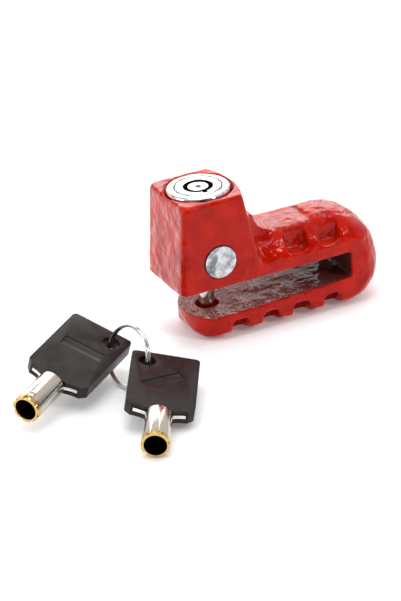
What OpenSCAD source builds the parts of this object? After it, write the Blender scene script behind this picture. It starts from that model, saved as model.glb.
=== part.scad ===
// Disc brake lock with a push-down tubular lock cylinder, and its two keys on a ring.
// Millimetres. Origin: on the locking pin's axis, at the plane that the lock rests on.
// +X runs along the jaws to the bend, +Z up through the lock cylinder, -Y is the plug's side.

/* [Slot] */
// Height of the slot that takes the brake disc
slot_gap = 11; // [8:0.5:13]
// Depth of the slot behind the locking pin's axis
slot_reach = 49.4; // [42:0.2:62]
// Thickness of the lower jaw under the slot
jaw_t = 9; // [8:0.25:12]

/* [Body] */
// Width of the casting across its flat sides
body_w = 28; // [27.5:0.5:34]
// Height of the lock housing above the slot's upper face
housing_h = 32; // [30:0.5:40]
// Reach of the housing's end face in front of the pin's axis, at the top
housing_back = 12.4; // [12.2:0.1:15]
// How much further the end face reaches at the slot
end_draft = 2.8; // [0:0.1:4]
// Reach of the housing's rounded face behind the pin's axis, at the top
housing_front = 13; // [12.6:0.1:16]
// How much further that face reaches at the slot
front_draft = 6; // [1:0.25:8]
// Height of the arm's crest above the slot's upper face
arm_h = 14; // [13:0.25:18]
// Thickness of the bend behind the slot, at its crest
bend_t = 13.8; // [12:0.2:20]
// Reach of the lower jaw's nose in front of the pin's axis
nose_reach = 9.6; // [7:0.2:12]
// Radius of the lower jaw's nose seen from above
nose_r = 16.2; // [14.2:0.1:20]
// Drop of the arm's crown from its crest to its sides
crown_top = 9; // [5:0.25:9.5]
// Set-back of the bend's crown from its crest to its sides
crown_end = 6.4; // [3:0.2:8]
// Rise of the underside's crown from its crest to its sides
crown_base = 2.6; // [1:0.2:4.4]

/* [Grips] */
// Number of finger pockets on each flank of the arm
pocket_count = 3; // [1:1:3]
// Distance from the pin's axis to the first pocket
pocket_start = 17.7; // [16:0.1:20]
// Spacing of the finger pockets
pocket_pitch = 12.2; // [10:0.2:12.6]
// Width of a finger pocket
pocket_w = 8; // [5:0.25:9]
// Height of the pockets' ledges above the slot's upper face
ledge_h = 5; // [4:0.25:7]
// Number of grip notches on each flank of the lower jaw
notch_count = 4; // [1:1:4]
// Distance from the pin's axis to the first notch
notch_start = 6.3; // [5:0.1:8]
// Spacing of the grip notches
notch_pitch = 11.7; // [9:0.1:12]
// Width of a grip notch
notch_w = 6.8; // [4:0.25:7]
// Height of the roof of the grip notches above the resting plane
notch_roof = 6.2; // [4:0.1:6]
// Depth of the pockets and notches from the flat sides
grip_depth = 5; // [3:0.25:6]

/* [Lock cylinder] */
// Diameter of the chromed barrel
barrel_d = 22; // [20:0.1:22.4]
// How far the barrel's face stands above the housing when locked
barrel_proud = 0.6; // [0.2:0.1:2]
// Thickness of the casting between the barrel's bore and the slot
web_t = 3.3; // [2.5:0.1:5]
// Diameter of the lock core's shell, the thin circle on the barrel's face
core_d = 16.3; // [15.5:0.1:16.5]
// Length of the lock core
core_len = 15.6; // [15:0.1:17]
// Outer diameter of the round keyway
keyway_d = 10.4; // [10:0.1:11]
// Diameter of the centre post
post_d = 7; // [6.6:0.1:7.2]
// Depth of the keyway below the face
keyway_deep = 5.6; // [5:0.1:6.5]
// Angle that the key turns
key_turn = 50; // [40:1:60]
// Throw of the latch
latch_throw = 2.2; // [1.8:0.1:2.4]

/* [Locking pin] */
// Diameter of the locking pin
pin_d = 5.5; // [5:0.1:6.5]
// How far the locked pin enters the lower jaw
pin_engage = 4; // [2:0.25:5]
// Diameter of the pin's hole in the lower jaw
jaw_hole_d = 8; // [6.8:0.1:9]
// Diameter of the plug in the housing's side
plug_d = 11.4; // [9:0.1:12]
// Height of the plug's centre above the slot's upper face
plug_up = 9.6; // [9.4:0.1:10.5]

/* [Keys] */
// Width of a key's head
head_w = 22.8; // [20:0.2:26]
// Length of the straight sides of a key's head
head_len = 30; // [24:0.5:36]
// Thickness of a key's head
head_t = 4.6; // [3.8:0.1:6]
// Outer diameter of a key's tube
tube_d = 9.5; // [9.1:0.05:9.8]
// Inner diameter of a key's tube
tube_bore_d = 7.6; // [7.4:0.05:8]
// Length of a key from the head's straight sides to the tube's mouth
tube_reach = 21; // [18:0.5:26]
// Diameter of the hole for the ring
ring_hole_d = 5.8; // [5:0.1:6.4]
// Radius of the key ring, to the middle of its wire
ring_r = 10.2; // [10:0.1:10.5]
// Diameter of the key ring's wire
ring_wire = 1; // [0.7:0.05:1.1]

/* [Hidden] */
$fn = 64;

slip = 0.05;        // radial clearance of a running fit
play = 0.1;         // clearance of pieces that pass each other
past = 1;           // how far a cut runs past the face that it opens

half_w = body_w / 2;
jaw_z = jaw_t;                              // the slot's lower face
web_z = jaw_t + slot_gap;                   // the slot's upper face
bore_z = web_z + web_t;                     // floor of the barrel's bore
top_z = web_z + housing_h;
face_z = top_z + barrel_proud;
barrel_r = barrel_d / 2;
travel = slot_gap + pin_engage;             // lift of the barrel from locked to open
crest_z = web_z + arm_h;
end_x = slot_reach + bend_t;
front_r = 32;                               // radius of the housing's rounded face, from above
housing_edge = 2.2;                         // radius of the housing's upright edges
rim_round = 1;                              // rounding of the housing's top rim
mouth_gap = 0.45;                           // gap round the barrel at the bore's mouth
mouth_deep = 0.9;
nose_round = 6.5;                           // radius under the lower jaw's nose, from the side
saddle_deep = 1.05;                         // depth of the shallow saddle in the arm's crest
saddle_w = 15.6;
saddle_r = 0.8;
saddle_end = pocket_start + 2 * pocket_pitch - pocket_w / 2;
root_r = 7;                                 // radius of the fillet between the housing and the arm
slot_flat = 6;                              // length of the slot's level lower face past the pin
slot_rise = 1.6;
notch_deep = 7.5;
root_sink = 0.3;                            // the fillet's toe runs into the crest by this much
first_ledge_up = 5;
crown_flank = 1.12;                         // share of the crown at the flanks' outer faces
crown_land = 0.2;                           // share of the half width that the crown leaves flat

// Core, from the face down
core_r = core_d / 2;
core_z = face_z - core_len;
keyway_r = keyway_d / 2;
post_r = post_d / 2;
lip_t = 2;                                  // thickness of the shell's front lip
rotor_r = core_r - 2.15;                    // radius of the turning plate in the shell
rotor_t = 2;                                // thickness of the turning plate
rotor_z = face_z - keyway_deep - rotor_t;   // underside of the turning plate, the shear plane
tail_r = 1.8;
pin_count = 7;
pin_ring_r = (post_r + keyway_r) / 2;       // the pins stand on this circle, under the key's rim
lock_pin_r = 0.72;
driver_len = 2.4;
spring_floor = core_z + 1.4;                // floor of the driver pins' holes
spring_wire = 0.24;
shear_gap = 0.05;

// Latch and cam
latch_r = 2.5;
latch_z = web_z + plug_up;
latch_grip = 1.4;                           // how far the latch stands out of the barrel
latch_tip = -(barrel_r + latch_grip);
latch_tail = 1.4;
spring_gap = latch_throw + play;
latch_bore_end = 6.4;
cam_r = 4;
cam_t = 2;
peg_r = 0.9;
peg_throw_r = latch_throw / (2 * sin(key_turn / 2));
peg_start = 180 + key_turn / 2;
chamber_z = latch_z + latch_r + 0.2;
chamber_r = 6.5;
cam_z = chamber_z + 1.9;
screw_head_t = 1.2;
screw_head_r = peg_throw_r - peg_r - play;
screw_r = 0.85;
screw_len = 3.6;

// Barrel's lower end
barrel_gap = 0.2;                           // gap under the locked barrel
barrel_z = bore_z + barrel_gap;
pin_top = latch_z - latch_r - slip - 0.25;
return_wire = 0.9;
return_r = 8.3;
return_turns = 2.4;
return_well = 0.5;                          // clearance beside the return spring's wire
well_top = latch_z - latch_r - slip - 0.4;
stop_r = 1.5;
stop_z = barrel_z + travel + 2 * stop_r + 2.6;
stop_deep = 1.4;                            // how far the stop pin stands into the barrel's groove
groove_deep = 1.6;

// Keys and ring: places and turns chosen by hand so that both keys rest on the floor
key_a_at = [-46, -58.2, 6.6];
key_a_turn = [5, 13, -28.5];
key_b_at = [-66.8, -24.4, 9.9];
key_b_turn = [5, 20, -53];
ring_at = [-41.2, -24.4, 10.3];
ring_turn = [70, 0, -77];

head_corner = 1.6;
neck_w = 11.6;                              // width of the head where the tube leaves it
neck_drop = 6.4;                            // drop of the shoulders from the straight sides
shoulder_r = 15;
plate_t = 1.2;
plate_gap = 0.5;                            // gap over the plate, open at the shoulders
tube_root = 5;                              // drop of the tube's closed end below the straight sides
lug = 0.9;
label_w = 15;
label_h = 4.2;
label_deep = 0.35;
ring_hole_in = 5.4;                         // ring hole's centre from both edges of the head

// ---- shapes that repeat ----

// Share of the crown's set-back at a share of the half width: none on the flat land in the middle
function crown_share(t) = let (u = max(0, t - crown_land) / (1 - crown_land))
    (1 - sqrt(1 - pow(0.9 * u, 2))) / (1 - sqrt(1 - 0.81));

// A coil of round wire on the Z axis, standing on z = 0
module coil(r, wire, turns, height, sides, steps) {
    n = round(turns * steps);
    rise = height - wire;
    points = [for (i = [0:n]) for (j = [0:sides - 1])
        let (a = 360 * turns * i / n, b = 360 * j / sides, d = r + wire / 2 * cos(b))
        [d * cos(a), d * sin(a), wire / 2 + rise * i / n + wire / 2 * sin(b)]];
    walls = [for (i = [0:n - 1]) for (j = [0:sides - 1])
        [i * sides + j, (i + 1) * sides + j, (i + 1) * sides + (j + 1) % sides, i * sides + (j + 1) % sides]];
    polyhedron(concat(points),
        concat(walls, [[for (j = [0:sides - 1]) j]], [[for (j = [sides - 1:-1:0]) n * sides + j]]));
}

// A U-shaped cutter: a channel along Y with two rounded corners at the bottom, open above
module u_channel(w, h, deep, r) {
    translate([0, deep, 0]) rotate([90, 0, 0]) linear_extrude(deep) union() {
        translate([-w / 2, r]) square([w, h - r]);
        translate([-w / 2 + r, 0]) square([w - 2 * r, h]);
        for (s = [-1, 1]) translate([s * (w / 2 - r), r]) circle(r, $fn = 24);
    }
}

// Copies its children mirrored to both flanks
module both_flanks() {
    for (s = [0, 1]) mirror([0, s, 0]) children();
}

// Places its children on the circle of the lock pins
module on_pin_circle() {
    for (i = [0:pin_count - 1]) rotate([0, 0, 360 / pin_count * (i + 0.5)])
        translate([pin_ring_r, 0, 0]) children();
}

// ---- the casting ----

// Points of a quarter turn of radius r about [x, z], from one angle to the next
function arc(x, z, r, from, to) = [
    for (i = [0:10]) let (a = from + (to - from) * i / 10) [x + r * cos(a), z + r * sin(a)]
];

// Side outline of the bow at a share of the crown, as a flat shape in X and Z
module bow_outline(share) {
    top = crest_z - crown_top * share;
    base = crown_base * share;
    right = end_x - crown_end * share;
    top_r = (crest_z * 0.57) * (1 - 0.52 * share);
    base_r = (crest_z * 0.4) * (1 - 0.32 * share);
    polygon(concat([[-nose_reach, top]],
        arc(nose_round - nose_reach, base + nose_round, nose_round, 180, 270),
        arc(right - base_r, base + base_r, base_r, -90, 0),
        arc(right - top_r, top - top_r, top_r, 0, 90)));
}

// The crowned bow that both jaws are cut from
module bow() {
    shares = [crown_land, 0.38, 0.56, 0.72, 0.85, 0.94];
    flank = 0.02;
    intersection() {
        hull() {
            for (t = shares) for (s = [-1, 1])
                translate([0, s * t * half_w + flank / 2, 0]) rotate([90, 0, 0])
                    linear_extrude(flank) bow_outline(crown_share(t));
            translate([0, half_w, 0]) rotate([90, 0, 0]) linear_extrude(body_w) bow_outline(crown_flank);
        }
        nose_plan();
    }
}

// Outline of the jaws from above: a round nose and straight sides
module nose_plan() {
    nose_x = nose_r - nose_reach;
    translate([0, 0, -past]) union() {
        translate([nose_x, 0, 0]) cylinder(r = nose_r, h = crest_z + 2 * past, $fn = 128);
        translate([nose_x, -body_w, 0]) cube([end_x, 2 * body_w, crest_z + 2 * past]);
    }
}

// Outline of the housing from above, drawn in by a margin
module housing_plan(back, front, margin) {
    r = housing_edge;
    intersection() {
        hull() for (x = [-back + margin + r, front - margin - r]) for (s = [-1, 1])
            translate([x, s * (half_w - margin - r)]) circle(r, $fn = 32);
        translate([front - margin - front_r, 0]) circle(front_r, $fn = 96);
    }
}

module housing() {
    layer = 0.02;
    hull() {
        translate([0, 0, web_z]) linear_extrude(layer)
            housing_plan(housing_back + end_draft, housing_front + front_draft, 0);
        translate([0, 0, top_z - rim_round]) linear_extrude(layer)
            housing_plan(housing_back, housing_front, 0);
        translate([0, 0, top_z - layer]) linear_extrude(layer)
            housing_plan(housing_back, housing_front, rim_round * 0.6);
    }
}

// The disc slot from the side; its lower face rises towards the closed end
module slot_outline() {
    polygon([[-nose_reach - 20, jaw_z], [slot_flat, jaw_z], [slot_reach, jaw_z + slot_rise],
             [slot_reach, web_z], [-nose_reach - 20, web_z]]);
}

// Fillet between the housing's rounded face and the arm's crest
module arm_root() {
    x = housing_front + front_draft * (top_z - crest_z) / housing_h - 0.4;
    w = half_w - grip_depth - 0.7;
    translate([0, w, 0]) rotate([90, 0, 0]) linear_extrude(2 * w) difference() {
        translate([x - 3, crest_z - 3]) square([root_r + 3, root_r + 3]);
        translate([x + root_r, crest_z + root_r - root_sink]) circle(root_r);
    }
}

module latch_track() {
    w = latch_r + play;
    translate([-w, latch_tip - play, latch_z - w])
        cube([2 * w, barrel_r, 2 * w + travel + play]);
}

// Height of a pocket's ledge; the first one stands higher, beside the housing
function pocket_floor(i) = web_z + ledge_h + (i == 0 ? first_ledge_up : 0);

module lock_body() {
    color("firebrick") difference() {
        union() {
            bow();
            housing();
            arm_root();
        }
        // slot
        translate([0, half_w + past, 0]) rotate([90, 0, 0]) linear_extrude(body_w + 2 * past)
            slot_outline();
        // barrel's bore and its mouth
        translate([0, 0, bore_z]) cylinder(r = barrel_r + slip, h = housing_h, $fn = 128);
        translate([0, 0, top_z - mouth_deep])
            cylinder(r = barrel_r + mouth_gap, h = mouth_deep + past, $fn = 128);
        // pin's holes
        translate([0, 0, web_z - past]) cylinder(r = pin_d / 2 + slip, h = web_t + 2 * past);
        translate([0, 0, -past]) cylinder(r = jaw_hole_d / 2, h = jaw_t + 2 * past);
        // side plug, latch track and stop pin
        translate([0, -half_w - past, latch_z]) rotate([-90, 0, 0]) cylinder(r = plug_d / 2, h = half_w);
        latch_track();
        translate([0, half_w + past, stop_z]) rotate([90, 0, 0]) cylinder(r = stop_r, h = half_w);
        // saddle in the arm's crest, up to the rear pockets
        translate([saddle_end - saddle_w / 2, -half_w - 1, crest_z - saddle_deep])
            u_channel(saddle_w, root_r, body_w + 2, saddle_r);
        // grips
        both_flanks() for (i = [0:pocket_count - 1])
            translate([pocket_start + i * pocket_pitch, half_w - grip_depth, pocket_floor(i)])
                u_channel(pocket_w, arm_h, grip_depth + past, 2);
        both_flanks() for (i = [0:notch_count - 1])
            translate([notch_start + i * notch_pitch, half_w - notch_deep, notch_roof])
                mirror([0, 0, 1]) u_channel(notch_w, notch_roof + past, notch_deep + past, 2);
    }
}

module side_plug() {
    color("lightgray") difference() {
        translate([0, -half_w - 0.1, latch_z]) rotate([-90, 0, 0]) cylinder(r = plug_d / 2, h = half_w - 6);
        translate([0, 0, bore_z]) cylinder(r = barrel_r + slip, h = housing_h, $fn = 128);
        latch_track();
    }
}

module stop_pin() {
    color("silver") translate([0, half_w - 0.3, stop_z]) rotate([90, 0, 0])
        cylinder(r = stop_r, h = half_w - 0.3 - barrel_r + stop_deep);
}

// ---- the push-down cylinder ----

module barrel() {
    rim = 1.1;
    bore_r = latch_r + slip;
    color("gainsboro") difference() {
        rotate_extrude($fn = 128) union() {
            translate([0, barrel_z]) square([barrel_r, face_z - barrel_z - rim]);
            translate([0, barrel_z]) square([barrel_r - rim, face_z - barrel_z]);
            translate([barrel_r - rim, face_z - rim]) circle(rim, $fn = 48);
        }
        // seat of the core and chamber of the cam
        translate([0, 0, core_z]) cylinder(r = core_r, h = core_len + past, $fn = 96);
        translate([0, 0, chamber_z]) cylinder(r = chamber_r, h = core_z - chamber_z + past);
        // latch's bore, and the window that the cam's peg reaches through
        translate([0, -barrel_r - past, latch_z]) rotate([-90, 0, 0])
            cylinder(r = bore_r, h = barrel_r + past + latch_bore_end);
        translate([-peg_throw_r - peg_r - play, -2.2, latch_z])
            cube([peg_throw_r + peg_r + 1, 4.4, latch_r + past]);
        // locking pin's seat
        translate([0, 0, barrel_z - past]) cylinder(r = pin_d / 2, h = pin_top - barrel_z + past);
        // well of the return spring
        translate([0, 0, barrel_z - past]) difference() {
            cylinder(r = return_r + return_wire / 2 + return_well, h = well_top - barrel_z + past);
            translate([0, 0, -past]) cylinder(r = return_r - return_wire / 2 - return_well, h = housing_h);
        }
        // groove of the stop pin
        translate([-stop_r - play, barrel_r - groove_deep, stop_z - travel - stop_r - play])
            cube([2 * (stop_r + play), groove_deep + past, travel + 2 * (stop_r + play)]);
        // core screw
        translate([-barrel_r - past, 0, core_z + 3]) rotate([0, 90, 0]) cylinder(r = 1.5, h = barrel_r);
    }
}

module core_screw() {
    color("dimgray") difference() {
        translate([-barrel_r + 0.4, 0, core_z + 3]) rotate([0, 90, 0])
            cylinder(r = 1.5, h = barrel_r - core_r + 0.2);
        translate([-barrel_r + 0.4, 0, core_z + 3]) rotate([0, 90, 0]) cylinder(r = 0.8, h = 1.2, $fn = 6);
    }
}

module core_shell() {
    color("gainsboro") difference() {
        translate([0, 0, core_z]) cylinder(r = core_r, h = core_len, $fn = 96);
        translate([0, 0, core_z - past]) cylinder(r = rotor_r + slip, h = core_len - lip_t + past);
        translate([0, 0, core_z]) cylinder(r = keyway_r, h = core_len + past);
        // notch for the key's lug
        translate([-0.9, -keyway_r - 1.1, face_z - lip_t - past]) cube([1.8, 2, lip_t + 2 * past]);
        // dimple of the core screw and hole of the sleeve pin
        translate([-core_r - past, 0, core_z + 3]) rotate([0, 90, 0]) cylinder(r = 1.5, h = past + 0.6);
        translate([rotor_r - past, 0, core_z + 4.4]) rotate([0, 90, 0]) cylinder(r = 0.7, h = core_r);
    }
}

module pin_sleeve() {
    top = rotor_z - shear_gap;
    color("goldenrod") difference() {
        translate([0, 0, core_z + 0.4]) cylinder(r = rotor_r + slip, h = top - core_z - 0.4);
        translate([0, 0, core_z - past]) cylinder(r = tail_r + slip, h = core_len);
        translate([0, 0, spring_floor]) on_pin_circle()
            cylinder(r = lock_pin_r + slip, h = core_len, $fn = 24);
        translate([rotor_r - 1, 0, core_z + 4.4]) rotate([0, 90, 0]) cylinder(r = 0.7, h = core_r);
    }
}

module sleeve_pin() {
    color("silver") translate([rotor_r - 1, 0, core_z + 4.4]) rotate([0, 90, 0])
        cylinder(r = 0.7, h = core_r - rotor_r + 0.8);
}

module driver_pins() {
    color("silver") translate([0, 0, rotor_z - shear_gap - driver_len]) on_pin_circle()
        cylinder(r = lock_pin_r, h = driver_len, $fn = 24);
}

module pin_springs() {
    color("lightsteelblue") translate([0, 0, spring_floor]) on_pin_circle()
        coil(lock_pin_r - spring_wire / 2 - slip, spring_wire, 4,
            rotor_z - shear_gap - driver_len - spring_floor, 4, 8);
}

module spindle() {
    color("gainsboro") difference() {
        union() {
            translate([0, 0, rotor_z]) cylinder(r = rotor_r, h = rotor_t);
            translate([0, 0, rotor_z]) cylinder(r = post_r, h = face_z - rotor_z - 0.1);
            translate([0, 0, cam_z + cam_t]) cylinder(r = tail_r, h = rotor_z - cam_z - cam_t + 0.5);
        }
        translate([0, 0, rotor_z - past]) on_pin_circle()
            cylinder(r = lock_pin_r + slip, h = rotor_t + 2 * past, $fn = 24);
        // dimple in the post and thread of the cam's screw
        translate([0, 0, face_z - 0.9]) cylinder(r = 1, h = 2);
        translate([0, 0, cam_z]) cylinder(r = screw_r, h = cam_t + screw_len - 1.4);
    }
}

module key_pins() {
    color("silver") translate([0, 0, rotor_z]) on_pin_circle()
        cylinder(r = lock_pin_r, h = rotor_t + 0.6, $fn = 24);
}

module cam() {
    color("silver") difference() {
        union() {
            translate([0, 0, cam_z]) cylinder(r = cam_r, h = cam_t);
            rotate([0, 0, peg_start]) translate([peg_throw_r, 0, latch_z + 0.6])
                cylinder(r = peg_r, h = cam_z - latch_z - 0.5);
        }
        translate([0, 0, cam_z - past]) cylinder(r = screw_r, h = cam_t + 2 * past);
    }
}

module cam_screw() {
    color("dimgray") difference() {
        union() {
            translate([0, 0, cam_z - screw_head_t]) cylinder(r = screw_head_r, h = screw_head_t);
            translate([0, 0, cam_z - 0.1]) cylinder(r = screw_r, h = screw_len - 0.2);
        }
        translate([-0.25, -screw_head_r, cam_z - screw_head_t - past])
            cube([0.5, 2 * screw_head_r, past + 0.5]);
    }
}

module latch() {
    groove_y = peg_throw_r * sin(peg_start);
    w = peg_r + slip;
    color("silver") difference() {
        translate([0, latch_tip, latch_z]) rotate([-90, 0, 0]) union() {
            translate([0, 0, 0.6]) cylinder(r = latch_r, h = latch_tail - latch_tip - 0.6);
            cylinder(r1 = latch_r - 0.6, r2 = latch_r, h = 0.6);
        }
        translate([-latch_r - past, groove_y - w, latch_z + 0.4])
            cube([2 * latch_r + 2 * past, 2 * w, latch_r + past]);
    }
}

module latch_spring() {
    color("lightsteelblue") translate([0, latch_tail + spring_gap, latch_z]) rotate([-90, 0, 0])
        coil(1.7, 0.5, 3, latch_bore_end - latch_tail - spring_gap, 6, 14);
}

module locking_pin() {
    tip = 0.6;
    color("silver") union() {
        translate([0, 0, jaw_z - pin_engage + tip])
            cylinder(r = pin_d / 2, h = pin_top - jaw_z + pin_engage - tip);
        translate([0, 0, jaw_z - pin_engage]) cylinder(r1 = pin_d / 2 - tip, r2 = pin_d / 2, h = tip);
    }
}

module return_spring() {
    color("lightsteelblue") translate([0, 0, bore_z])
        coil(return_r, return_wire, return_turns, well_top - bore_z, 8, 24);
}

// ---- keys and ring ----

// Outline of a key's head: straight sides, concave shoulders and an arch over the tube's end
module head_outline(margin) {
    w = head_w / 2 - margin;
    r = head_corner;
    drop = neck_drop - margin;
    difference() {
        union() {
            translate([-w, 0]) square([2 * w, head_len - margin - r]);
            translate([-w + r, 0]) square([2 * (w - r), head_len - margin]);
            for (s = [-1, 1]) translate([s * (w - r), head_len - margin - r]) circle(r, $fn = 32);
            polygon([[-w, 0.01], [-neck_w / 2, -drop], [neck_w / 2, -drop], [w, 0.01]]);
        }
        for (s = [-1, 1]) translate([s * (w - 1.2), -shoulder_r - 0.5]) circle(shoulder_r - 1.6, $fn = 96);
    }
}

module label(angle) {
    rotate([0, 0, angle]) translate([-label_w / 2, -label_h / 2, 0]) cube([label_w, label_h, 2 * label_deep]);
}

// A key's black head; its mid plane is z = 0 and the ring hole is on the -X side
module key_head() {
    hole_at = [-head_w / 2 + ring_hole_in, head_len - ring_hole_in, -head_t];
    color([0.12, 0.1, 0.1]) difference() {
        translate([0, 0, -head_t / 2]) linear_extrude(head_t) head_outline(0);
        translate(hole_at) cylinder(r = ring_hole_d / 2, h = 2 * head_t);
        // pocket of the plate, open at the shoulders
        translate([0, 0, -plate_t / 2]) linear_extrude(plate_t + plate_gap) plate_outline(0);
        // seat of the tube
        translate([0, -tube_root + 0.3, 0]) rotate([90, 0, 0]) translate([0, 0, -1.6])
            cylinder(r = tube_d / 2 + 0.1, h = 20);
        translate([0, head_len * 0.48, head_t / 2 - label_deep]) label(36);
        translate([0, head_len * 0.52, -head_t / 2 - label_deep]) label(0);
    }
}

// Outline of the steel plate in the head
module plate_outline(margin) {
    w = head_w / 2 - 2.2 - margin;
    polygon([[-w, head_len * 0.3], [-w, -1.2], [-neck_w / 2 - 1.2, -9], [neck_w / 2 + 1.2, -9], [w, -1.2],
             [w, head_len * 0.3]]);
}

module key_plate() {
    color("silver") translate([0, 0, -plate_t / 2]) linear_extrude(plate_t) difference() {
        intersection() {
            plate_outline(0.3);
            head_outline(0);
        }
        // the plate forks over the tube's closed end
        translate([-tube_d / 2 - play, -tube_reach]) square([tube_d + 2 * play, tube_reach - tube_root]);
    }
}

// A key's tube: closed at the head, notched at its mouth, with a small lug
module key_tube() {
    length = tube_reach - tube_root + 1.6;
    color("silver") translate([0, -tube_reach, 0]) rotate([-90, 0, 0]) difference() {
        union() {
            cylinder(r = tube_d / 2, h = length - 1);
            translate([0, 0, length - 1]) cylinder(r1 = tube_d / 2, r2 = tube_d / 2 - 1, h = 1);
            translate([-0.8, 0, 1.4]) cube([1.6, tube_d / 2 + lug, 2.2]);
        }
        translate([0, 0, -past]) cylinder(r = tube_bore_d / 2, h = length - 2.6 + past);
        for (i = [0:pin_count - 1]) rotate([0, 0, 360 / pin_count * (i + 0.5)])
            translate([tube_d / 2 + 0.1, 0, -past])
                cylinder(r = lock_pin_r, h = past + 0.7 + 0.5 * (i % 3), $fn = 24);
        // cut for the plate
        translate([-tube_d / 2, -plate_t / 2, length - 1.6]) cube([tube_d, plate_t, 2]);
    }
}

module at_key_a() {
    translate(key_a_at) rotate(key_a_turn) children();
}

module at_key_b() {
    translate(key_b_at) rotate(key_b_turn) rotate([0, 180, 0]) children();
}

module key_a_head() { at_key_a() key_head(); }
module key_a_plate() { at_key_a() key_plate(); }
module key_a_tube() { at_key_a() key_tube(); }
module key_b_head() { at_key_b() key_head(); }
module key_b_plate() { at_key_b() key_plate(); }
module key_b_tube() { at_key_b() key_tube(); }

module key_ring() {
    color("silver") translate(ring_at) rotate(ring_turn) rotate_extrude($fn = 96) union() {
        for (s = [-1, 1]) translate([ring_r, s * ring_wire * 0.42]) circle(ring_wire / 2, $fn = 24);
    }
}

lock_body();
side_plug();
stop_pin();
barrel();
core_screw();
core_shell();
pin_sleeve();
sleeve_pin();
driver_pins();
pin_springs();
spindle();
key_pins();
cam();
cam_screw();
latch();
latch_spring();
locking_pin();
return_spring();
key_ring();
key_a_head();
key_a_plate();
key_a_tube();
key_b_head();
key_b_plate();
key_b_tube();
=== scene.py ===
"""Disc brake lock with two keys on a split ring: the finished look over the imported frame."""

import logging
import math
from dataclasses import dataclass, field
from enum import Enum

import bpy
from mathutils import Matrix, Vector


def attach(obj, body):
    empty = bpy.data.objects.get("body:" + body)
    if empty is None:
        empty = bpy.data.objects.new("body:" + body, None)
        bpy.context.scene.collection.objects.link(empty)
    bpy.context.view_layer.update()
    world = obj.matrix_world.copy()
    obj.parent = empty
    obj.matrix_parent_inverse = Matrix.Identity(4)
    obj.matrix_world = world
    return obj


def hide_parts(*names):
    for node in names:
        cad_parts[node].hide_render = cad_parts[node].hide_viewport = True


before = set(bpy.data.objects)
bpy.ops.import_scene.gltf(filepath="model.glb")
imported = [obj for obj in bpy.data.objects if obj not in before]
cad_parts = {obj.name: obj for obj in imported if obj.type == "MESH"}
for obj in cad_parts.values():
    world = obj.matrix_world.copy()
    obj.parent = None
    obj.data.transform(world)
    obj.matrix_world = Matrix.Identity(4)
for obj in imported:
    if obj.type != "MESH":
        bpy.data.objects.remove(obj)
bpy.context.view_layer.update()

logging.basicConfig(level=logging.INFO, format="%(message)s")
log = logging.getLogger("disc_lock")

MM = 0.001
MERGE_WITHIN = 0.002 * MM
ROUND = 360.0
FINE_SIDES = 128
PLUG_SIDES = 96
SMALL_SIDES = 64

Triple = tuple[float, float, float]
Pair = tuple[float, float]


# ---- working in edit mode and with modifiers ----


class Axis(Enum):
    """Direction that a round tool points in."""

    Y = (math.pi / 2, 0.0, 0.0)
    Z = (0.0, 0.0, 0.0)


def deselect_everything() -> None:
    """Leave edit mode and clear the selection."""
    if bpy.context.object and bpy.context.object.mode != "OBJECT":
        bpy.ops.object.mode_set(mode="OBJECT")
    bpy.ops.object.select_all(action="DESELECT")


def work_on(piece: bpy.types.Object) -> None:
    """Make one piece the selected and active object."""
    deselect_everything()
    piece.select_set(True)
    bpy.context.view_layer.objects.active = piece


def settle(piece: bpy.types.Object) -> None:
    """Put a piece's place, turn and scale into its mesh."""
    work_on(piece)
    bpy.ops.object.transform_apply(location=True, rotation=True, scale=True)


def copy_of_node(node: str, name: str) -> bpy.types.Object:
    """Copy a CAD node's mesh into a new piece with its loose triangles merged.

    Args:
        node: the CAD node to copy.
        name: the new piece's name.

    Returns:
        The new piece, at the origin.
    """
    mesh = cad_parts[node].data.copy()
    mesh.name = name
    mesh.materials.clear()
    piece = bpy.data.objects.new(name, mesh)
    bpy.context.scene.collection.objects.link(piece)
    work_on(piece)
    bpy.ops.object.mode_set(mode="EDIT")
    bpy.ops.mesh.select_all(action="SELECT")
    bpy.ops.mesh.remove_doubles(threshold=MERGE_WITHIN)
    bpy.ops.mesh.normals_make_consistent(inside=False)
    bpy.ops.object.mode_set(mode="OBJECT")
    return piece


def finish_with(piece: bpy.types.Object, kind: str, **settings: object) -> None:
    """Add one modifier to a piece and apply it.

    Args:
        piece: the piece that is changed.
        kind: the modifier's type.
        settings: the modifier's own properties.
    """
    work_on(piece)
    bpy.ops.object.modifier_add(type=kind)
    modifier = piece.modifiers[-1]
    for key, value in settings.items():
        setattr(modifier, key, value)
    bpy.ops.object.modifier_apply(modifier=modifier.name)


def smooth_by_angle(piece: bpy.types.Object, degrees: float) -> None:
    """Shade a piece smooth, with creases above an angle."""
    work_on(piece)
    bpy.ops.object.shade_smooth_by_angle(angle=math.radians(degrees))


def round_tool(centre: Triple, radius: float, length: float, axis: Axis, sides: int) -> bpy.types.Object:
    """Make a cylinder that cuts a bore.

    Args:
        centre: middle of the cylinder, in mm.
        radius: its radius, in mm.
        length: its length, in mm.
        axis: the way it points.
        sides: the number of flats round it.

    Returns:
        The cylinder.
    """
    deselect_everything()
    bpy.ops.mesh.primitive_cylinder_add(
        vertices=sides,
        radius=radius * MM,
        depth=length * MM,
        location=Vector(centre) * MM,
        rotation=axis.value,
    )
    tool = bpy.context.object
    settle(tool)
    return tool


def box_tool(low: Triple, high: Triple) -> bpy.types.Object:
    """Make a box that cuts a track.

    Args:
        low: the corner with the smallest x, y and z, in mm.
        high: the corner with the largest x, y and z, in mm.

    Returns:
        The box.
    """
    deselect_everything()
    middle = (Vector(low) + Vector(high)) / 2
    bpy.ops.mesh.primitive_cube_add(size=1.0, location=middle * MM)
    tool = bpy.context.object
    tool.scale = (Vector(high) - Vector(low)) * MM
    settle(tool)
    return tool


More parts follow.
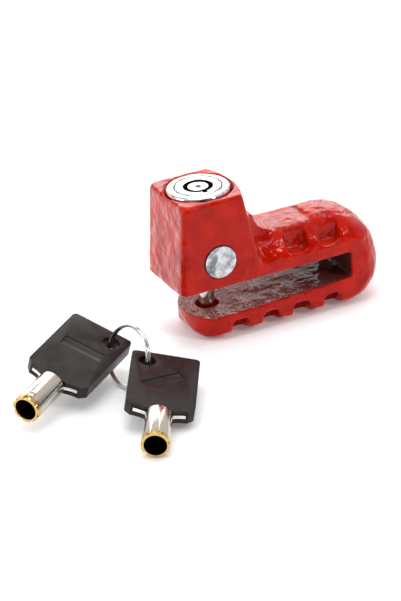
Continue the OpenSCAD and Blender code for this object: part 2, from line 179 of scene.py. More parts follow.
def cut_away(piece: bpy.types.Object, tools: list[bpy.types.Object]) -> None:
    """Cut tools out of a piece one after another and throw the tools away.

    Args:
        piece: the piece that is cut.
        tools: the bodies that are taken out of it.
    """
    for tool in tools:
        finish_with(piece, "BOOLEAN", operation="DIFFERENCE", solver="EXACT", object=tool)
        bpy.data.objects.remove(tool, do_unlink=True)


# ---- finishes ----


@dataclass(frozen=True)
class Grain:
    """One noise: its cells per metre, its layers and how strong the finer layers are."""

    scale: float
    detail: float
    roughness: float


class Nodes:
    """A small hand for wiring one material's nodes."""

    def __init__(self, name: str) -> None:
        """Start an empty node material with its shader and output.

        Args:
            name: the material's name.
        """
        self.material = bpy.data.materials.new(name)
        self.material.use_nodes = True
        self.tree = self.material.node_tree
        self.tree.nodes.clear()
        self.shader = self.add("ShaderNodeBsdfPrincipled")
        self.output = self.add("ShaderNodeOutputMaterial")
        self.link(self.shader, "BSDF", self.output, "Surface")
        self.place = self.add("ShaderNodeTexCoord")

    def add(self, kind: str, **settings: object) -> bpy.types.Node:
        """Add a node and set its own properties.

        Args:
            kind: the node's type.
            settings: the node's own properties.

        Returns:
            The node.
        """
        node = self.tree.nodes.new(kind)
        for key, value in settings.items():
            setattr(node, key, value)
        return node

    def link(self, a: bpy.types.Node, out: str | int, b: bpy.types.Node, into: str | int) -> None:
        """Join an output to an input."""
        self.tree.links.new(a.outputs[out], b.inputs[into])

    def noise(self, grain: Grain, stretch: Triple = (1.0, 1.0, 1.0)) -> bpy.types.Node:
        """Add a noise on Object coordinates.

        Args:
            grain: the noise's scale, detail and roughness.
            stretch: the coordinates' scale along X, Y and Z.

        Returns:
            The noise node.
        """
        mapping = self.add("ShaderNodeMapping")
        mapping.inputs["Scale"].default_value = stretch
        node = self.add("ShaderNodeTexNoise")
        node.inputs["Scale"].default_value = grain.scale
        node.inputs["Detail"].default_value = grain.detail
        node.inputs["Roughness"].default_value = grain.roughness
        self.link(self.place, "Object", mapping, "Vector")
        self.link(mapping, "Vector", node, "Vector")
        return node

    def ramp(
        self, source: bpy.types.Node, out: str | int, span: Pair, onto: Pair = (0.0, 1.0)
    ) -> bpy.types.Node:
        """Map a value softly between two limits onto a new range.

        Args:
            source: the node that gives the value.
            out: its output.
            span: the value's two limits.
            onto: what the limits become.

        Returns:
            The range node.
        """
        node = self.add("ShaderNodeMapRange", interpolation_type="SMOOTHSTEP")
        node.inputs["From Min"].default_value = span[0]
        node.inputs["From Max"].default_value = span[1]
        node.inputs["To Min"].default_value = onto[0]
        node.inputs["To Max"].default_value = onto[1]
        self.link(source, out, node, "Value")
        return node

    def calc(
        self, operation: str, a: bpy.types.Node, out: str | int, b: bpy.types.Node | float
    ) -> bpy.types.Node:
        """Combine two values.

        Args:
            operation: the sum that is done.
            a: the node that gives the first value.
            out: its output.
            b: the second value, or the node whose first output gives it.

        Returns:
            The maths node.
        """
        node = self.add("ShaderNodeMath", operation=operation)
        self.link(a, out, node, 0)
        if isinstance(b, bpy.types.Node):
            self.link(b, 0, node, 1)
        else:
            node.inputs[1].default_value = b
        return node

    def blend(
        self, factor: bpy.types.Node, a: Triple | bpy.types.Node, b: Triple | bpy.types.Node
    ) -> bpy.types.Node:
        """Mix two colours by a value.

        Args:
            factor: the node that gives the value.
            a: the colour, or colour blend, that shows at 0.
            b: the colour, or colour blend, that shows at 1.

        Returns:
            The mixing node.
        """
        node = self.add("ShaderNodeMix", data_type="RGBA")
        self.link(factor, 0, node, 0)
        for source, socket in ((a, 6), (b, 7)):
            if isinstance(source, bpy.types.Node):
                self.link(source, 2, node, socket)
            else:
                node.inputs[socket].default_value = (*source, 1.0)
        return node

    def bump(
        self,
        height: bpy.types.Node,
        out: str | int,
        strength: float,
        distance: float,
        below: bpy.types.Node | None = None,
    ) -> bpy.types.Node:
        """Add a bump from a height.

        Args:
            height: the node that gives the height.
            out: its output.
            strength: how much of the bump shows.
            distance: the height of a full bump, in metres.
            below: the bump that this one lies over, if there is one.

        Returns:
            The bump node.
        """
        node = self.add("ShaderNodeBump")
        node.inputs["Strength"].default_value = strength
        node.inputs["Distance"].default_value = distance
        self.link(height, out, node, "Height")
        if below is not None:
            self.link(below, "Normal", node, "Normal")
        return node


@dataclass(frozen=True)
class CastLacquer:
    """Red gloss lacquer over a die casting, with light speckle inside the slot; painted shade darkens
    the slot's paint and speckle towards its deep end.
    """

    light: Triple = (0.56, 0.010, 0.001)
    dark: Triple = (0.40, 0.005, 0.001)
    mouth_grain: Triple = (0.62, 0.50, 0.48)
    # Painted shade for the paint at the slot's deep end.
    deep: Triple = (0.030, 0.016, 0.013)
    # Painted shade for the slot's grains at its deep end.
    shaded_grain: Triple = (0.055, 0.048, 0.044)
    gloss_ior: float = 1.5
    front_gloss: float = 0.34
    slot_low: float = 8.6 * MM
    slot_high: float = 20.35 * MM
    slot_end: float = 50.4 * MM
    slot_half_width: float = 13.3 * MM
    edge_soft: float = 0.25 * MM
    # Painted shade for the paint at the slot's mouth; it darkens inwards over the span below.
    shaded_mouth_paint: Triple = (0.20, 0.045, 0.035)
    inward_span: Pair = (12.0 * MM, 48.0 * MM)
    speckle: Grain = Grain(1300.0, 5.0, 0.75)
    speckle_span: Pair = (0.47, 0.56)
    clouds: Grain = Grain(170.0, 3.0, 0.6)
    clouds_span: Pair = (0.35, 0.65)
    clouds_onto: Pair = (0.35, 1.0)
    shading: Grain = Grain(140.0, 2.0, 0.5)
    shading_span: Pair = (0.3, 0.75)
    # How much of the slot's paint is swapped for the painted shade.
    slot_shade_strength: float = 0.75
    rough_onto: Pair = (0.20, 0.50)
    facing_span: Pair = (0.15, 0.55)
    slot_coat: float = 0.3
    coat_roughness: float = 0.04
    peel: Grain = Grain(620.0, 1.5, 0.4)
    waves: Grain = Grain(170.0, 1.0, 0.4)
    bump_strength: float = 0.8
    wave_height: float = 1.5 * MM
    peel_height: float = 0.32 * MM
    grit_height: float = 0.25 * MM

    def material(self) -> bpy.types.Material:
        """Build the lacquer's material."""
        n = Nodes("red_lacquer")
        split = n.add("ShaderNodeSeparateXYZ")
        n.link(n.place, "Object", split, "Vector")
        soft = self.edge_soft
        above = n.ramp(split, "Z", (self.slot_low - soft, self.slot_low + soft))
        below = n.ramp(split, "Z", (self.slot_high - soft, self.slot_high + soft), (1.0, 0.0))
        before = n.ramp(split, "X", (self.slot_end - soft, self.slot_end + soft), (1.0, 0.0))
        aside = n.calc("ABSOLUTE", split, "Y", 0.0)
        half = self.slot_half_width
        inside = n.ramp(aside, 0, (half - 2 * soft, half + soft), (1.0, 0.0))
        mask = n.calc("MULTIPLY", above, 0, below)
        mask = n.calc("MULTIPLY", mask, 0, before)
        mask = n.calc("MULTIPLY", mask, 0, inside)

        speckle = n.noise(self.speckle)
        grains = n.ramp(speckle, "Fac", self.speckle_span)
        clouds = n.noise(self.clouds)
        patchy = n.ramp(clouds, "Fac", self.clouds_span, self.clouds_onto)
        shown = n.calc("MULTIPLY", grains, 0, patchy)
        shown = n.calc("MULTIPLY", shown, 0, mask)

        depth = n.noise(self.shading)
        shade = n.ramp(depth, "Fac", self.shading_span)
        paint = n.blend(shade, self.dark, self.light)
        # Inside the slot most of the paint is swapped for painted shade, dark red-brown at the mouth and
        # near black at the deep end.
        slot_shade_share = n.ramp(mask, 0, (0.0, 1.0), (0.0, self.slot_shade_strength))
        inward = n.ramp(split, "X", self.inward_span)
        slot_shade = n.blend(inward, self.shaded_mouth_paint, self.deep)
        paint = n.blend(slot_shade_share, paint, slot_shade)
        # The slot's light grains darken with painted shade towards its deep end.
        grain = n.blend(inward, self.mouth_grain, self.shaded_grain)
        colour = n.blend(shown, paint, grain)
        n.link(colour, 2, n.shader, "Base Color")

        rough = n.ramp(mask, 0, (0.0, 1.0), self.rough_onto)
        n.link(rough, 0, n.shader, "Roughness")
        tilt = n.add("ShaderNodeLayerWeight")
        sheen = n.ramp(tilt, "Facing", self.facing_span, (self.front_gloss, 1.0))
        coat = n.ramp(mask, 0, (0.0, 1.0), (1.0, self.slot_coat))
        coat = n.calc("MULTIPLY", coat, 0, sheen)
        n.link(coat, 0, n.shader, "Coat Weight")
        n.shader.inputs["Coat Roughness"].default_value = self.coat_roughness
        n.shader.inputs["Coat IOR"].default_value = self.gloss_ior
        n.shader.inputs["Specular IOR Level"].default_value = 0.0

        peel = n.noise(self.peel)
        waves = n.noise(self.waves)
        grit = n.calc("MULTIPLY", speckle, "Fac", mask)
        low = n.bump(waves, "Fac", self.bump_strength, self.wave_height)
        mid = n.bump(peel, "Fac", self.bump_strength, self.peel_height, low)
        top = n.bump(grit, 0, self.bump_strength, self.grit_height, mid)
        n.link(top, "Normal", n.shader, "Normal")
        n.link(mid, "Normal", n.shader, "Coat Normal")
        return n.material


@dataclass(frozen=True)
class BareMetal:
    """Plated, polished or machined metal with soft patches and fine marks."""

    name: str
    colour: Triple
    second: Triple
    roughness: float = 0.15
    spread: float = 0.1
    patch: float = 400.0
    marks: float = 6000.0
    stretch: Triple = (1.0, 1.0, 1.0)
    depth: float = 0.02 * MM
    patch_detail: float = 4.0
    marks_detail: float = 3.0
    layering: float = 0.6
    patch_span: Pair = (0.35, 0.65)
    wear_span: Pair = (0.3, 0.7)
    marks_strength: float = 0.25

    def material(self) -> bpy.types.Material:
        """Build the metal's material."""
        n = Nodes(self.name)
        patches = n.noise(Grain(self.patch, self.patch_detail, self.layering))
        share = n.ramp(patches, "Fac", self.patch_span)
        colour = n.blend(share, self.colour, self.second)
        n.link(colour, 2, n.shader, "Base Color")
        n.shader.inputs["Metallic"].default_value = 1.0
        onto = (self.roughness, self.roughness + self.spread)
        rough = n.ramp(patches, "Fac", self.wear_span, onto)
        n.link(rough, 0, n.shader, "Roughness")
        scratches = n.noise(Grain(self.marks, self.marks_detail, self.layering), self.stretch)
        bump = n.bump(scratches, "Fac", self.marks_strength, self.depth)
        n.link(bump, "Normal", n.shader, "Normal")
        return n.material


@dataclass(frozen=True)
class KeyTubeMetal:
    """Nickel plate that is worn to brass at the cut mouth of a tube key, with painted shade down its
    bore.
    """

    name: str
    mouth: Triple
    toward: Triple
    brass_length: float = 2.0 * MM
    nickel: Triple = (0.60, 0.56, 0.49)
    # Painted shade inside the bore.
    bore_shade: Triple = (0.16, 0.14, 0.11)
    bore_radius: float = 4.0 * MM
    brass: Triple = (0.62, 0.42, 0.17)
    wear: Grain = Grain(900.0, 4.0, 0.6)
    wear_span: Pair = (0.3, 0.7)
    wander: float = 0.5 * MM
    brass_soft: float = 0.4 * MM
    bore_soft: float = 0.15 * MM
    shade_span: Pair = (0.2 * MM, 1.6 * MM)
    rough_onto: Pair = (0.1, 0.26)
    marks_strength: float = 0.2
    marks_height: float = 0.03 * MM

    def material(self) -> bpy.types.Material:
        """Build the tube's material along its own axis."""
        n = Nodes(self.name)
        along = n.add("ShaderNodeVectorMath", operation="SUBTRACT")
        n.link(n.place, "Object", along, 0)
        along.inputs[1].default_value = self.mouth
        reach = n.add("ShaderNodeVectorMath", operation="DOT_PRODUCT")
        n.link(along, 0, reach, 0)
        reach.inputs[1].default_value = self.toward
        wear = n.noise(self.wear)
        shift = n.ramp(wear, "Fac", self.wear_span, (-self.wander, self.wander))
        edge = n.calc("ADD", reach, "Value", shift)
        span = (self.brass_length - self.brass_soft, self.brass_length + self.brass_soft)
        share = n.ramp(edge, 0, span)
        colour = n.blend(share, self.brass, self.nickel)
        cross = n.add("ShaderNodeVectorMath", operation="CROSS_PRODUCT")
        n.link(along, 0, cross, 0)
        cross.inputs[1].default_value = self.toward
        radius = n.add("ShaderNodeVectorMath", operation="LENGTH")
        n.link(cross, 0, radius, 0)
        # Painted shade inside the bore, deepening from the mouth inwards.
        wall = (self.bore_radius, self.bore_radius + self.bore_soft)
        bore = n.ramp(radius, "Value", wall, (1.0, 0.0))
        depth = n.ramp(reach, "Value", self.shade_span)
        shadow = n.calc("MULTIPLY", bore, 0, depth)
        colour = n.blend(shadow, colour, self.bore_shade)
        n.link(colour, 2, n.shader, "Base Color")
        n.shader.inputs["Metallic"].default_value = 1.0
        rough = n.ramp(wear, "Fac", self.wear_span, self.rough_onto)
        n.link(rough, 0, n.shader, "Roughness")
        bump = n.bump(wear, "Fac", self.marks_strength, self.marks_height)
        n.link(bump, "Normal", n.shader, "Normal")
        return n.material


@dataclass(frozen=True)
class MouldedPlastic:
    """Black moulded plastic with a fine satin grain."""

    colour: Triple = (0.012, 0.0075, 0.0065)
    worn: Triple = (0.022, 0.014, 0.012)
    patches: Grain = Grain(260.0, 4.0, 0.6)
    patch_span: Pair = (0.4, 0.7)
    wear_span: Pair = (0.3, 0.7)
    rough_onto: Pair = (0.30, 0.42)
    ior: float = 1.33
    grain: Grain = Grain(5200.0, 2.0, 0.5)
    grain_strength: float = 0.25
    grain_height: float = 0.04 * MM

    def material(self) -> bpy.types.Material:
        """Build the plastic's material."""
        n = Nodes("black_plastic")
        patches = n.noise(self.patches)
        share = n.ramp(patches, "Fac", self.patch_span)
        colour = n.blend(share, self.colour, self.worn)
        n.link(colour, 2, n.shader, "Base Color")
        rough = n.ramp(patches, "Fac", self.wear_span, self.rough_onto)
        n.link(rough, 0, n.shader, "Roughness")
        n.shader.inputs["IOR"].default_value = self.ior
        grain = n.noise(self.grain)
        bump = n.bump(grain, "Fac", self.grain_strength, self.grain_height)
        n.link(bump, "Normal", n.shader, "Normal")
        return n.material


@dataclass(frozen=True)
class PaleFloor:
    """Matt white studio floor."""

    colour: Triple = (0.93, 0.93, 0.93)
    roughness: float = 0.9
    shine: float = 0.1
    glow_colour: Triple = (1.0, 1.0, 1.0)
    glow: float = 0.12

    def material(self) -> bpy.types.Material:
        """Build the floor's material."""
        n = Nodes("studio_floor")
        n.shader.inputs["Base Color"].default_value = (*self.colour, 1.0)
        n.shader.inputs["Roughness"].default_value = self.roughness
        n.shader.inputs["Specular IOR Level"].default_value = self.shine
        n.shader.inputs["Emission Color"].default_value = (*self.glow_colour, 1.0)
        n.shader.inputs["Emission Strength"].default_value = self.glow
        return n.material


@dataclass(frozen=True)
class FaceChrome:
    """Bright chrome that darkens in the round joint between the cylinder and its core, with painted
    shade in the keyway and patches of painted dark reflection.
    """

    name: str = "face_chrome"
    bright: Triple = (0.78, 0.77, 0.76)
    # Patches of painted dark reflection on the chrome.
    dark_reflection: Triple = (0.34, 0.34, 0.33)
    # Near black for the dark joint line and for the painted shade in the keyway.
    joint_and_keyway_shade: Triple = (0.012, 0.011, 0.010)
    joint_radius: float = 8.12 * MM
    joint_width: float = 0.30 * MM
    keyway_outer: float = 5.35 * MM
    keyway_soft: float = 0.15 * MM
    face: float = 52.6 * MM
    joint_edges: Pair = (0.5, 1.4)
    sunk_depths: Pair = (1.4 * MM, 0.35 * MM)
    patches: Grain = Grain(230.0, 3.0, 0.5)
    patch_span: Pair = (0.50, 0.60)
    rough_onto: Pair = (0.07, 0.5)
    wave_strength: float = 0.35
    wave_height: float = 0.25 * MM

    def material(self) -> bpy.types.Material:
        """Build the chrome's material round the lock's upright axis."""
        n = Nodes(self.name)
        split = n.add("ShaderNodeSeparateXYZ")
        n.link(n.place, "Object", split, "Vector")
        flat = n.add("ShaderNodeCombineXYZ")
        n.link(split, "X", flat, "X")
        n.link(split, "Y", flat, "Y")
        radius = n.add("ShaderNodeVectorMath", operation="LENGTH")
        n.link(flat, 0, radius, 0)
        off = n.calc("SUBTRACT", radius, "Value", self.joint_radius)
        off = n.calc("ABSOLUTE", off, 0, 0.0)
        edges = (self.joint_width * self.joint_edges[0], self.joint_width * self.joint_edges[1])
        joint = n.ramp(off, 0, edges, (1.0, 0.0))
        # Painted shade in the keyway, below the face and inside its outer wall.
        levels = (self.face - self.sunk_depths[0], self.face - self.sunk_depths[1])
        deep = n.ramp(split, "Z", levels, (1.0, 0.0))
        wall = (self.keyway_outer, self.keyway_outer + self.keyway_soft)
        inner = n.ramp(radius, "Value", wall, (1.0, 0.0))
        keyway_shade = n.calc("MULTIPLY", deep, 0, inner)
        dark = n.calc("MAXIMUM", joint, 0, keyway_shade)
        # Random patches of painted dark reflection over the bright chrome; the same noise drives the
        # bump's waves.
        patches = n.noise(self.patches)
        share = n.ramp(patches, "Fac", self.patch_span)
        plain = n.blend(share, self.bright, self.dark_reflection)
        colour = n.blend(dark, plain, self.joint_and_keyway_shade)
        n.link(colour, 2, n.shader, "Base Color")
        n.shader.inputs["Metallic"].default_value = 1.0
        rough = n.ramp(dark, 0, (0.0, 1.0), self.rough_onto)
        n.link(rough, 0, n.shader, "Roughness")
        bump = n.bump(patches, "Fac", self.wave_strength, self.wave_height)
        n.link(bump, "Normal", n.shader, "Normal")
        return n.material


Metal = BareMetal | FaceChrome

CHROME = FaceChrome()
ZINC = BareMetal(
    "zinc_steel",
    colour=(0.62, 0.63, 0.65),
    second=(0.13, 0.14, 0.15),
    roughness=0.22,
    spread=0.16,
    patch=230.0,
    marks=3000.0,
    depth=0.05 * MM,
)
STEEL = BareMetal(
    "steel",
    colour=(0.56, 0.56, 0.57),
    second=(0.44, 0.44, 0.45),
    roughness=0.25,
    spread=0.12,
    patch=600.0,
    marks=5000.0,
)
PIN_STEEL = BareMetal(
    "pin_steel",
    colour=(0.66, 0.64, 0.62),
    second=(0.50, 0.48, 0.46),
    roughness=0.07,
    spread=0.08,
    patch=300.0,
    marks=5000.0,
    stretch=(1.0, 1.0, 0.1),
)
SPRING = BareMetal("spring_steel", (0.50, 0.50, 0.52), (0.38, 0.38, 0.40), 0.25, 0.12)
RING_STEEL = BareMetal("ring_steel", (0.72, 0.70, 0.66), (0.52, 0.50, 0.46), 0.12, 0.08)
BRASS = BareMetal("brass", (0.80, 0.56, 0.20), (0.66, 0.44, 0.15), 0.22, 0.1)
PLATE = BareMetal("key_plate_steel", (0.78, 0.77, 0.74), (0.62, 0.61, 0.58), 0.18, 0.1)


def dress(piece: bpy.types.Object, material: bpy.types.Material) -> None:
    """Give a piece one material on all its faces.

    Args:
        piece: the piece that is dressed.
        material: its material.
    """
    slots = piece.material_slots
    if not slots:
        piece.data.materials.append(material)
        return
    for one in slots:
        one.material = material


# ---- the lock ----


@dataclass
class Casting:
    """The lacquered casting, rounded as a die casting is, with its machined bores kept true."""

    voxel: float = 0.50 * MM
    rounding_passes: int = 9
    barrel_bore: float = 11.14
    mouth: float = 11.9
    mouth_depth: float = 1.2
    face: float = 52.0
    bore_floor: float = 23.25
    pin_bore: float = 2.85
    jaw_hole: float = 4.05
    plug_bore: float = 5.72
    track_low: Triple = (-2.75, -12.62, 26.9)
    track_high: Triple = (2.75, -1.5, 47.4)
    plug_height: float = 29.6
    half_width: float = 14.0
    web: tuple[float, float] = (20.0, 23.3)
    jaw: float = 9.0
    over: float = 4.0
    plug_over: float = 1.0
    plug_length: float = 5.0
    softening: float = 0.5
    skin_scale: float = 5.5 * MM
    skin_layers: int = 1
    skin_height: float = 0.42 * MM
    skin_level: float = 0.62
    crease: float = 38.0

    def ripple(self, piece: bpy.types.Object) -> None:
        """Give the cast skin its shallow waves.

        Args:
            piece: the casting.
        """
        clouds = bpy.data.textures.new("cast_skin", "CLOUDS")
        clouds.noise_scale = self.skin_scale
        clouds.noise_depth = self.skin_layers
        finish_with(
            piece,
            "DISPLACE",
            texture=clouds,
            texture_coords="LOCAL",
            strength=self.skin_height,
            mid_level=self.skin_level,
        )

    def mouth_tool(self) -> bpy.types.Object:
        """Make the tool for the bore's wider mouth, which the rounding softens."""
        length = self.mouth_depth + self.over
        middle = self.face - self.mouth_depth + length / 2
        return round_tool((0, 0, middle), self.mouth, length, Axis.Z, FINE_SIDES)

    def bores(self) -> list[bpy.types.Object]:
        """Make the tools for every machined bore and for the latch's track.

        Returns:
            The tools, in the order in which they cut.
        """
        length = self.face + self.over - self.bore_floor
        middle = self.bore_floor + length / 2
        barrel = round_tool((0, 0, middle), self.barrel_bore, length, Axis.Z, FINE_SIDES)

        length = self.web[1] - self.web[0] + self.over
        middle = sum(self.web) / 2
        pin = round_tool((0, 0, middle), self.pin_bore, length, Axis.Z, SMALL_SIDES)

        length = self.jaw + self.over
        jaw = round_tool((0, 0, self.jaw / 2), self.jaw_hole, length, Axis.Z, SMALL_SIDES)

        aside = -self.half_width - self.plug_over + self.plug_length / 2
        spot = (0, aside, self.plug_height)
        plug = round_tool(spot, self.plug_bore, self.plug_length, Axis.Y, PLUG_SIDES)
        return [barrel, pin, jaw, plug, box_tool(self.track_low, self.track_high)]

    def build(self) -> bpy.types.Object:
        """Build the casting and ride it on its body.

        Returns:
            The casting.
        """
        piece = copy_of_node("lock_body", "lock_casting")
        cut_away(piece, [self.mouth_tool()])
        finish_with(piece, "REMESH", mode="VOXEL", voxel_size=self.voxel, adaptivity=0.0)
        finish_with(piece, "SMOOTH", factor=self.softening, iterations=self.rounding_passes)
        self.ripple(piece)
        cut_away(piece, self.bores())
        smooth_by_angle(piece, self.crease)
        dress(piece, CastLacquer().material())
        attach(piece, "casting")
        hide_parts("lock_body")
        log.info("%s: %d faces", piece.name, len(piece.data.polygons))
        return piece


@dataclass
class LockWorks:
    """The metal pieces of the lock, which keep their machined shapes."""

    finishes: dict[str, Metal] = field(
        default_factory=lambda: {
            "side_plug": ZINC,
            "stop_pin": STEEL,
            "barrel": CHROME,
            "core_screw": STEEL,
            "core_shell": CHROME,
            "pin_sleeve": BRASS,
            "sleeve_pin": STEEL,
            "driver_pins": STEEL,
            "pin_springs": SPRING,
            "spindle": CHROME,
            "key_pins": STEEL,
            "cam": STEEL,
            "cam_screw": STEEL,
            "latch": STEEL,
            "latch_spring": SPRING,
            "locking_pin": PIN_STEEL,
            "return_spring": SPRING,
            "key_a_plate": PLATE,
            "key_b_plate": PLATE,
        }
    )

    def build(self) -> None:
        """Dress every carried-over node, one material for each finish."""
        made: dict[str, bpy.types.Material] = {}
        for node, finish in self.finishes.items():
            if finish.name not in made:
                made[finish.name] = finish.material()
            dress(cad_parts[node], made[finish.name])
            log.info("%s: %s", node, finish.name)


# ---- the keys ----


@dataclass
class TubeKey:
    """One key: a black head on a plated tube, with its plate between them."""

    letter: str
    place: Triple
    turn: Matrix
    mouth_at: float = -21.0
    grip_edge: float = 0.45 * MM
    tube_edge: float = 0.16 * MM
    bevel_angle: float = 35.0
    grip_crease: float = 40.0
    tube_crease: float = 35.0

    def break_edges(self, piece: bpy.types.Object, width: float, segments: int) -> None:
        """Round a piece's sharp edges.

        Args:
            piece: the piece that is changed.
            width: the bevel's width, in metres.
            segments: the number of flats across the bevel.
        """
        finish_with(
            piece,
            "BEVEL",
            width=width,
            segments=segments,
            limit_method="ANGLE",
            angle_limit=math.radians(self.bevel_angle),
            use_clamp_overlap=True,
        )

    def head(self, plastic: bpy.types.Material) -> bpy.types.Object:
        """Make the moulded head with soft edges.

        Args:
            plastic: the head's material.

        Returns:
            The head.
        """
        piece = copy_of_node(f"key_{self.letter}_head", f"key_{self.letter}_grip")
        self.break_edges(piece, self.grip_edge, 3)
        smooth_by_angle(piece, self.grip_crease)
        dress(piece, plastic)
        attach(piece, f"key_{self.letter}")
        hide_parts(f"key_{self.letter}_head")
        return piece

    def tube(self) -> bpy.types.Object:
        """Make the tube with its cut edges broken.

        Returns:
            The tube.
        """
        piece = copy_of_node(f"key_{self.letter}_tube", f"key_{self.letter}_shank")
        self.break_edges(piece, self.tube_edge, 2)
        smooth_by_angle(piece, self.tube_crease)
        mouth = Vector(self.place) + self.turn @ Vector((0.0, self.mouth_at, 0.0))
        toward = self.turn @ Vector((0.0, 1.0, 0.0))
        metal = KeyTubeMetal(f"nickel_{self.letter}", tuple(mouth * MM), tuple(toward))
        dress(piece, metal.material())
        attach(piece, f"key_{self.letter}")
        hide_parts(f"key_{self.letter}_tube")
        return piece

    def build(self, plastic: bpy.types.Material) -> None:
        """Build both pieces and report them."""
        for piece in (self.head(plastic), self.tube()):
            log.info("%s: %d faces", piece.name, len(piece.data.polygons))


@dataclass
class SplitRing:
    """Ring of two turns of wire that cross over once."""

    centre: Triple = (-41.2, -24.4, 10.3)
    radius: float = 10.2
    wire: float = 0.98
    lift: float = 0.43
    points: int = 150
    cross: float = 42.0
    tail: float = 6.0
    start: float = 200.0
    tilt: float = 70.0
    heading: float = -77.0
    crease: float = 50.0

    def turn(self) -> Matrix:
        """The ring's turn, about X and then about Z."""
        tilt = Matrix.Rotation(math.radians(self.tilt), 3, "X")
        return Matrix.Rotation(math.radians(self.heading), 3, "Z") @ tilt

    def path(self) -> list[Vector]:
        """Lay points along the wire's middle, with a soft step where the turns cross.

        Returns:
            The points, in metres.
        """
        sweep = 2 * ROUND - self.tail
        turn = self.turn()
        out = []
        for i in range(self.points):
            angle = sweep * i / (self.points - 1)
            step = (angle - (ROUND - self.tail / 2 - self.cross / 2)) / self.cross
            share = min(max(step, 0.0), 1.0)
            share = share * share * (3.0 - 2.0 * share)
            level = self.lift * (2.0 * share - 1.0)
            spot = math.radians(angle + self.start)
            local = Vector((self.radius * math.cos(spot), self.radius * math.sin(spot), level))
            out.append((Vector(self.centre) + turn @ local) * MM)
        return out

    def build(self) -> bpy.types.Object:
        """Sweep the wire, turn it into a mesh and ride it on its body.

        Returns:
            The ring.
        """
        curve = bpy.data.curves.new("split_ring", "CURVE")
        curve.dimensions = "3D"
        curve.bevel_depth = self.wire / 2 * MM
        curve.bevel_resolution = 4
        curve.use_fill_caps = True
        spline = curve.splines.new("POLY")
        points = self.path()
        spline.points.add(len(points) - 1)
        for spot, point in zip(spline.points, points):
            spot.co = (*point, 1.0)
        piece = bpy.data.objects.new("split_ring", curve)
        bpy.context.scene.collection.objects.link(piece)
        work_on(piece)
        bpy.ops.object.convert(target="MESH")
        piece = bpy.context.object
        smooth_by_angle(piece, self.crease)
        dress(piece, RING_STEEL.material())
        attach(piece, "ring")
        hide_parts("key_ring")
        log.info("%s: %d faces", piece.name, len(piece.data.polygons))
        return piece


# ---- the studio ----


@dataclass(frozen=True)
class Panel:
    """One soft panel of light: its place and size in metres and its power in watts."""

    name: str
    at: Triple
    size: Pair
    power: float


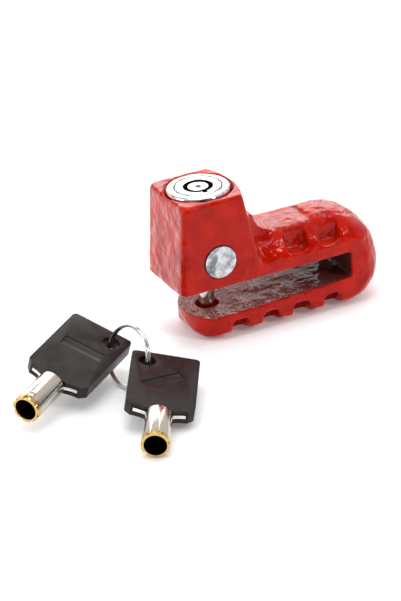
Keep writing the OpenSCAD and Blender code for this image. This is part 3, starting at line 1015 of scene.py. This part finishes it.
@dataclass
class Studio:
    """Floor, light and camera."""

    floor_size: float = 8.0
    camera_at: Triple = (-0.4271, -0.9451, 0.5127)
    camera_right: Triple = (0.8953, -0.4398, -0.0704)
    camera_up: Triple = (0.2497, 0.3647, 0.8970)
    lens: float = 201.6
    room_strength: float = 0.8
    dim_share: float = 0.02
    bright_side: Triple = (0.15, 0.72, 0.68)
    gradient_span: Pair = (-0.55, 0.55)
    aim: Triple = (0.0, 0.0, 0.02)
    sensor: float = 36.0
    clip_start: float = 0.01
    panels: tuple[Panel, ...] = (
        Panel("back_panel", (0.62, 1.38, 0.78), (1.8, 1.0), 10.0),
        Panel("top_panel", (0.1, 0.1, 1.3), (0.8, 0.8), 7.5),
        Panel("left_panel", (-1.15, 0.1, 0.55), (0.6, 0.6), 4.5),
        Panel("front_panel", (0.75, -1.1, 0.85), (0.16, 0.5), 6.0),
    )

    def floor(self) -> None:
        """Lay the pale floor."""
        deselect_everything()
        bpy.ops.mesh.primitive_plane_add(size=self.floor_size, location=(0.0, 0.0, 0.0))
        floor = bpy.context.object
        floor.name = "studio_floor"
        dress(floor, PaleFloor().material())

    def hang(self, panel: Panel) -> None:
        """Hang one panel of light, facing the aim.

        Args:
            panel: the panel.
        """
        data = bpy.data.lights.new(panel.name, "AREA")
        data.shape = "RECTANGLE"
        data.size, data.size_y = panel.size
        data.energy = panel.power
        lamp = bpy.data.objects.new(panel.name, data)
        bpy.context.scene.collection.objects.link(lamp)
        lamp.location = panel.at
        sight = Vector(self.aim) - Vector(panel.at)
        lamp.rotation_euler = sight.to_track_quat("-Z", "Y").to_euler()

    def light(self) -> None:
        """Set the soft room light and the panels."""
        world = bpy.data.worlds.new("soft_room")
        world.use_nodes = True
        tree = world.node_tree
        back = tree.nodes["Background"]
        back.inputs["Strength"].default_value = self.room_strength
        direction = tree.nodes.new("ShaderNodeTexCoord")
        lean = tree.nodes.new("ShaderNodeVectorMath")
        lean.operation = "DOT_PRODUCT"
        lean.inputs[1].default_value = self.bright_side
        spread = tree.nodes.new("ShaderNodeMapRange")
        spread.interpolation_type = "SMOOTHSTEP"
        spread.inputs["From Min"].default_value = self.gradient_span[0]
        spread.inputs["From Max"].default_value = self.gradient_span[1]
        spread.inputs["To Min"].default_value = self.dim_share
        spread.inputs["To Max"].default_value = 1.0
        tree.links.new(direction.outputs["Generated"], lean.inputs[0])
        tree.links.new(lean.outputs["Value"], spread.inputs["Value"])
        tree.links.new(spread.outputs["Result"], back.inputs["Color"])
        bpy.context.scene.world = world
        for panel in self.panels:
            self.hang(panel)

    def camera(self) -> None:
        """Set the camera at its place and turn, with its three axes square to each other."""
        right = Vector(self.camera_right).normalized()
        up = Vector(self.camera_up)
        up = (up - right * up.dot(right)).normalized()
        back = right.cross(up)
        data = bpy.data.cameras.new("main_camera")
        data.lens = self.lens
        data.sensor_width = self.sensor
        data.clip_start = self.clip_start
        camera = bpy.data.objects.new("main_camera", data)
        bpy.context.scene.collection.objects.link(camera)
        turn = Matrix((right, up, back)).transposed().to_4x4()
        camera.matrix_world = Matrix.Translation(Vector(self.camera_at)) @ turn
        bpy.context.scene.camera = camera

    def build(self) -> None:
        """Set up the whole studio."""
        self.camera()
        self.floor()
        self.light()
        bpy.context.scene.view_settings.view_transform = "Standard"


def key_turn_matrix(angles: Triple, flipped: bool) -> Matrix:
    """Work out how a key is turned.

    Args:
        angles: its turns about X, Y and Z, made in that order, in degrees.
        flipped: whether it is first turned over, half round about Y.

    Returns:
        The key's turn.
    """
    rx, ry, rz = (math.radians(a) for a in angles)
    turn = Matrix.Rotation(rz, 3, "Z") @ Matrix.Rotation(ry, 3, "Y") @ Matrix.Rotation(rx, 3, "X")
    return turn @ Matrix.Rotation(math.pi, 3, "Y") if flipped else turn


KEY_A_AT = (-46.0, -58.2, 6.6)
KEY_A_TURN = (5.0, 13.0, -28.5)
KEY_B_AT = (-66.8, -24.4, 9.9)
KEY_B_TURN = (5.0, 20.0, -53.0)


def main() -> None:
    """Build the studio, the lock, the keys and their ring."""
    Studio().build()
    Casting().build()
    LockWorks().build()
    plastic = MouldedPlastic().material()
    TubeKey("a", KEY_A_AT, key_turn_matrix(KEY_A_TURN, flipped=False)).build(plastic)
    TubeKey("b", KEY_B_AT, key_turn_matrix(KEY_B_TURN, flipped=True)).build(plastic)
    SplitRing().build()


if __name__ == "__main__":
    main()
